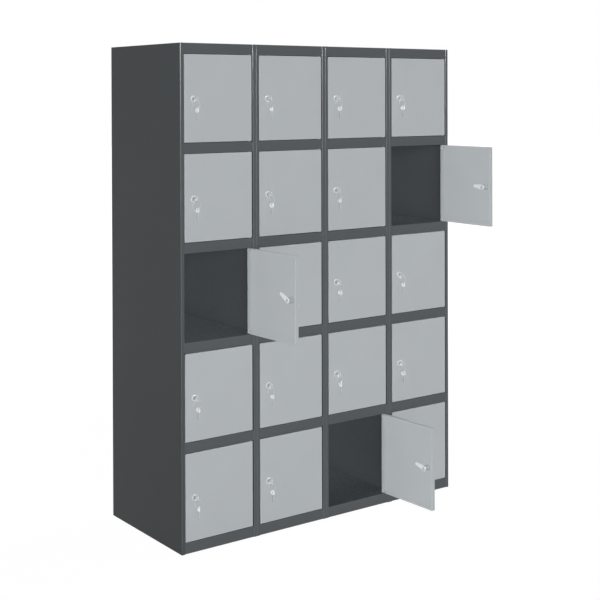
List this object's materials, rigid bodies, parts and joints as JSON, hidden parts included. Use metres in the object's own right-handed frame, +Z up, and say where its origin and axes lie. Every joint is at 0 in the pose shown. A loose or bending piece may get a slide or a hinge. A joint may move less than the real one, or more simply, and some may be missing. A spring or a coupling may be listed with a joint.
{
  "type": "compartment locker",
  "caption": "Freestanding sheet-steel locker of small compartments in columns and tiers, each with a folded door on pins and a keyed cam lock.",
  "frame": {"origin": "on the floor under the middle of the carcass, on the underside of the base tray", "axes": "+Z up, +X to the right of someone facing the doors, +Y from the doors to the back"},
  "size_m": [1.2102, 0.7467, 1.7],
  "materials": {
    "dark_grey_paint": "fine textured powder coat, satin",
    "light_grey_paint": "fine textured powder coat, satin",
    "plated_lock": "bright nickel and zinc plate"
  },
  "bodies": {
    "carcass": {"side_left": "dark_grey_paint", "side_right": "dark_grey_paint", "divider_1": "dark_grey_paint", "divider_2": "dark_grey_paint", "divider_3": "dark_grey_paint", "back_panel": "dark_grey_paint", "top_panel": "dark_grey_paint", "base_tray": "dark_grey_paint", "shelf_1": "dark_grey_paint", "shelf_2": "dark_grey_paint", "shelf_3": "dark_grey_paint", "shelf_4": "dark_grey_paint", "bottom_shelf": "dark_grey_paint"},
    "door_c1_r1": {"door_c1_r1": "light_grey_paint"},
    "door_c1_r2": {"door_c1_r2": "light_grey_paint"},
    "door_c1_r3": {"door_c1_r3": "light_grey_paint"},
    "door_c1_r4": {"door_c1_r4": "light_grey_paint"},
    "door_c1_r5": {"door_c1_r5": "light_grey_paint"},
    "door_c2_r1": {"door_c2_r1": "light_grey_paint"},
    "door_c2_r2": {"door_c2_r2": "light_grey_paint"},
    "door_c2_r3": {"door_c2_r3": "light_grey_paint"},
    "door_c2_r4": {"door_c2_r4": "light_grey_paint"},
    "door_c2_r5": {"door_c2_r5": "light_grey_paint"},
    "door_c3_r1": {"door_c3_r1": "light_grey_paint"},
    "door_c3_r2": {"door_c3_r2": "light_grey_paint"},
    "door_c3_r3": {"door_c3_r3": "light_grey_paint"},
    "door_c3_r4": {"door_c3_r4": "light_grey_paint"},
    "door_c3_r5": {"door_c3_r5": "light_grey_paint"},
    "door_c4_r1": {"door_c4_r1": "light_grey_paint"},
    "door_c4_r2": {"door_c4_r2": "light_grey_paint"},
    "door_c4_r3": {"door_c4_r3": "light_grey_paint"},
    "door_c4_r4": {"door_c4_r4": "light_grey_paint"},
    "door_c4_r5": {"door_c4_r5": "light_grey_paint"},
    "lock_c1_r3": {"cam_lock_c1_r3": "plated_lock"},
    "lock_c3_r5": {"cam_lock_c3_r5": "plated_lock"},
    "lock_c4_r2": {"cam_lock_c4_r2": "plated_lock"},
    "lock_c1_r1": {"cam_lock_c1_r1": "plated_lock"},
    "lock_c1_r2": {"cam_lock_c1_r2": "plated_lock"},
    "lock_c1_r4": {"cam_lock_c1_r4": "plated_lock"},
    "lock_c1_r5": {"cam_lock_c1_r5": "plated_lock"},
    "lock_c2_r1": {"cam_lock_c2_r1": "plated_lock"},
    "lock_c2_r2": {"cam_lock_c2_r2": "plated_lock"},
    "lock_c2_r3": {"cam_lock_c2_r3": "plated_lock"},
    "lock_c2_r4": {"cam_lock_c2_r4": "plated_lock"},
    "lock_c2_r5": {"cam_lock_c2_r5": "plated_lock"},
    "lock_c3_r1": {"cam_lock_c3_r1": "plated_lock"},
    "lock_c3_r2": {"cam_lock_c3_r2": "plated_lock"},
    "lock_c3_r3": {"cam_lock_c3_r3": "plated_lock"},
    "lock_c3_r4": {"cam_lock_c3_r4": "plated_lock"},
    "lock_c4_r1": {"cam_lock_c4_r1": "plated_lock"},
    "lock_c4_r3": {"cam_lock_c4_r3": "plated_lock"},
    "lock_c4_r4": {"cam_lock_c4_r4": "plated_lock"},
    "lock_c4_r5": {"cam_lock_c4_r5": "plated_lock"}
  },
  "joints": [
    {"name": "door_c1_r1_hinge", "type": "hinge", "parent": "carcass", "child": "door_c1_r1", "pos_m": [-0.3218, -0.238, 1.3682], "axis": [0, 0, 1], "range_deg": [0, 105]},
    {"name": "door_c1_r2_hinge", "type": "hinge", "parent": "carcass", "child": "door_c1_r2", "pos_m": [-0.3218, -0.238, 1.0359], "axis": [0, 0, 1], "range_deg": [0, 105]},
    {"name": "door_c1_r3_hinge", "type": "hinge", "parent": "carcass", "child": "door_c1_r3", "pos_m": [-0.3218, -0.238, 0.7036], "axis": [0, 0, 1], "range_deg": [-92, 13]},
    {"name": "door_c1_r4_hinge", "type": "hinge", "parent": "carcass", "child": "door_c1_r4", "pos_m": [-0.3218, -0.238, 0.3713], "axis": [0, 0, 1], "range_deg": [0, 105]},
    {"name": "door_c1_r5_hinge", "type": "hinge", "parent": "carcass", "child": "door_c1_r5", "pos_m": [-0.3218, -0.238, 0.039], "axis": [0, 0, 1], "range_deg": [0, 105]},
    {"name": "door_c2_r1_hinge", "type": "hinge", "parent": "carcass", "child": "door_c2_r1", "pos_m": [-0.0218, -0.238, 1.3682], "axis": [0, 0, 1], "range_deg": [0, 105]},
    {"name": "door_c2_r2_hinge", "type": "hinge", "parent": "carcass", "child": "door_c2_r2", "pos_m": [-0.0218, -0.238, 1.0359], "axis": [0, 0, 1], "range_deg": [0, 105]},
    {"name": "door_c2_r3_hinge", "type": "hinge", "parent": "carcass", "child": "door_c2_r3", "pos_m": [-0.0218, -0.238, 0.7036], "axis": [0, 0, 1], "range_deg": [0, 105]},
    {"name": "door_c2_r4_hinge", "type": "hinge", "parent": "carcass", "child": "door_c2_r4", "pos_m": [-0.0218, -0.238, 0.3713], "axis": [0, 0, 1], "range_deg": [0, 105]},
    {"name": "door_c2_r5_hinge", "type": "hinge", "parent": "carcass", "child": "door_c2_r5", "pos_m": [-0.0218, -0.238, 0.039], "axis": [0, 0, 1], "range_deg": [0, 105]},
    {"name": "door_c3_r1_hinge", "type": "hinge", "parent": "carcass", "child": "door_c3_r1", "pos_m": [0.2782, -0.238, 1.3682], "axis": [0, 0, 1], "range_deg": [0, 105]},
    {"name": "door_c3_r2_hinge", "type": "hinge", "parent": "carcass", "child": "door_c3_r2", "pos_m": [0.2782, -0.238, 1.0359], "axis": [0, 0, 1], "range_deg": [0, 105]},
    {"name": "door_c3_r3_hinge", "type": "hinge", "parent": "carcass", "child": "door_c3_r3", "pos_m": [0.2782, -0.238, 0.7036], "axis": [0, 0, 1], "range_deg": [0, 105]},
    {"name": "door_c3_r4_hinge", "type": "hinge", "parent": "carcass", "child": "door_c3_r4", "pos_m": [0.2782, -0.238, 0.3713], "axis": [0, 0, 1], "range_deg": [0, 105]},
    {"name": "door_c3_r5_hinge", "type": "hinge", "parent": "carcass", "child": "door_c3_r5", "pos_m": [0.2782, -0.238, 0.039], "axis": [0, 0, 1], "range_deg": [-92, 13]},
    {"name": "door_c4_r1_hinge", "type": "hinge", "parent": "carcass", "child": "door_c4_r1", "pos_m": [0.5782, -0.238, 1.3682], "axis": [0, 0, 1], "range_deg": [0, 105]},
    {"name": "door_c4_r2_hinge", "type": "hinge", "parent": "carcass", "child": "door_c4_r2", "pos_m": [0.5782, -0.238, 1.0359], "axis": [0, 0, 1], "range_deg": [-90, 15]},
    {"name": "door_c4_r3_hinge", "type": "hinge", "parent": "carcass", "child": "door_c4_r3", "pos_m": [0.5782, -0.238, 0.7036], "axis": [0, 0, 1], "range_deg": [0, 105]},
    {"name": "door_c4_r4_hinge", "type": "hinge", "parent": "carcass", "child": "door_c4_r4", "pos_m": [0.5782, -0.238, 0.3713], "axis": [0, 0, 1], "range_deg": [0, 105]},
    {"name": "door_c4_r5_hinge", "type": "hinge", "parent": "carcass", "child": "door_c4_r5", "pos_m": [0.5782, -0.238, 0.039], "axis": [0, 0, 1], "range_deg": [0, 105]},
    {"name": "lock_c1_r3_turn", "type": "hinge", "parent": "door_c1_r3", "child": "lock_c1_r3", "pos_m": [-0.30684, -0.46572, 0.84825], "axis": [0.9994, 0.0349, 0], "range_deg": [-27, 153]},
    {"name": "lock_c3_r5_turn", "type": "hinge", "parent": "door_c3_r5", "child": "lock_c3_r5", "pos_m": [0.29316, -0.46572, 0.18365], "axis": [0.9994, 0.0349, 0], "range_deg": [-13, 167]},
    {"name": "lock_c4_r2_turn", "type": "hinge", "parent": "door_c4_r2", "child": "lock_c4_r2", "pos_m": [0.5852, -0.4661, 1.18055], "axis": [1, 0, 0], "range_deg": [-4, 176]},
    {"name": "lock_c1_r1_turn", "type": "hinge", "parent": "door_c1_r1", "child": "lock_c1_r1", "pos_m": [-0.5499, -0.245, 1.51285], "axis": [0, -1, 0], "range_deg": [0, 180]},
    {"name": "lock_c1_r2_turn", "type": "hinge", "parent": "door_c1_r2", "child": "lock_c1_r2", "pos_m": [-0.5499, -0.245, 1.18055], "axis": [0, -1, 0], "range_deg": [0, 180]},
    {"name": "lock_c1_r4_turn", "type": "hinge", "parent": "door_c1_r4", "child": "lock_c1_r4", "pos_m": [-0.5499, -0.245, 0.51595], "axis": [0, -1, 0], "range_deg": [0, 180]},
    {"name": "lock_c1_r5_turn", "type": "hinge", "parent": "door_c1_r5", "child": "lock_c1_r5", "pos_m": [-0.5499, -0.245, 0.18365], "axis": [0, -1, 0], "range_deg": [0, 180]},
    {"name": "lock_c2_r1_turn", "type": "hinge", "parent": "door_c2_r1", "child": "lock_c2_r1", "pos_m": [-0.2499, -0.245, 1.51285], "axis": [0, -1, 0], "range_deg": [0, 180]},
    {"name": "lock_c2_r2_turn", "type": "hinge", "parent": "door_c2_r2", "child": "lock_c2_r2", "pos_m": [-0.2499, -0.245, 1.18055], "axis": [0, -1, 0], "range_deg": [0, 180]},
    {"name": "lock_c2_r3_turn", "type": "hinge", "parent": "door_c2_r3", "child": "lock_c2_r3", "pos_m": [-0.2499, -0.245, 0.84825], "axis": [0, -1, 0], "range_deg": [0, 180]},
    {"name": "lock_c2_r4_turn", "type": "hinge", "parent": "door_c2_r4", "child": "lock_c2_r4", "pos_m": [-0.2499, -0.245, 0.51595], "axis": [0, -1, 0], "range_deg": [0, 180]},
    {"name": "lock_c2_r5_turn", "type": "hinge", "parent": "door_c2_r5", "child": "lock_c2_r5", "pos_m": [-0.2499, -0.245, 0.18365], "axis": [0, -1, 0], "range_deg": [0, 180]},
    {"name": "lock_c3_r1_turn", "type": "hinge", "parent": "door_c3_r1", "child": "lock_c3_r1", "pos_m": [0.0501, -0.245, 1.51285], "axis": [0, -1, 0], "range_deg": [0, 180]},
    {"name": "lock_c3_r2_turn", "type": "hinge", "parent": "door_c3_r2", "child": "lock_c3_r2", "pos_m": [0.0501, -0.245, 1.18055], "axis": [0, -1, 0], "range_deg": [0, 180]},
    {"name": "lock_c3_r3_turn", "type": "hinge", "parent": "door_c3_r3", "child": "lock_c3_r3", "pos_m": [0.0501, -0.245, 0.84825], "axis": [0, -1, 0], "range_deg": [0, 180]},
    {"name": "lock_c3_r4_turn", "type": "hinge", "parent": "door_c3_r4", "child": "lock_c3_r4", "pos_m": [0.0501, -0.245, 0.51595], "axis": [0, -1, 0], "range_deg": [0, 180]},
    {"name": "lock_c4_r1_turn", "type": "hinge", "parent": "door_c4_r1", "child": "lock_c4_r1", "pos_m": [0.3501, -0.245, 1.51285], "axis": [0, -1, 0], "range_deg": [0, 180]},
    {"name": "lock_c4_r3_turn", "type": "hinge", "parent": "door_c4_r3", "child": "lock_c4_r3", "pos_m": [0.3501, -0.245, 0.84825], "axis": [0, -1, 0], "range_deg": [0, 180]},
    {"name": "lock_c4_r4_turn", "type": "hinge", "parent": "door_c4_r4", "child": "lock_c4_r4", "pos_m": [0.3501, -0.245, 0.51595], "axis": [0, -1, 0], "range_deg": [0, 180]},
    {"name": "lock_c4_r5_turn", "type": "hinge", "parent": "door_c4_r5", "child": "lock_c4_r5", "pos_m": [0.3501, -0.245, 0.18365], "axis": [0, -1, 0], "range_deg": [0, 180]}
  ]
}
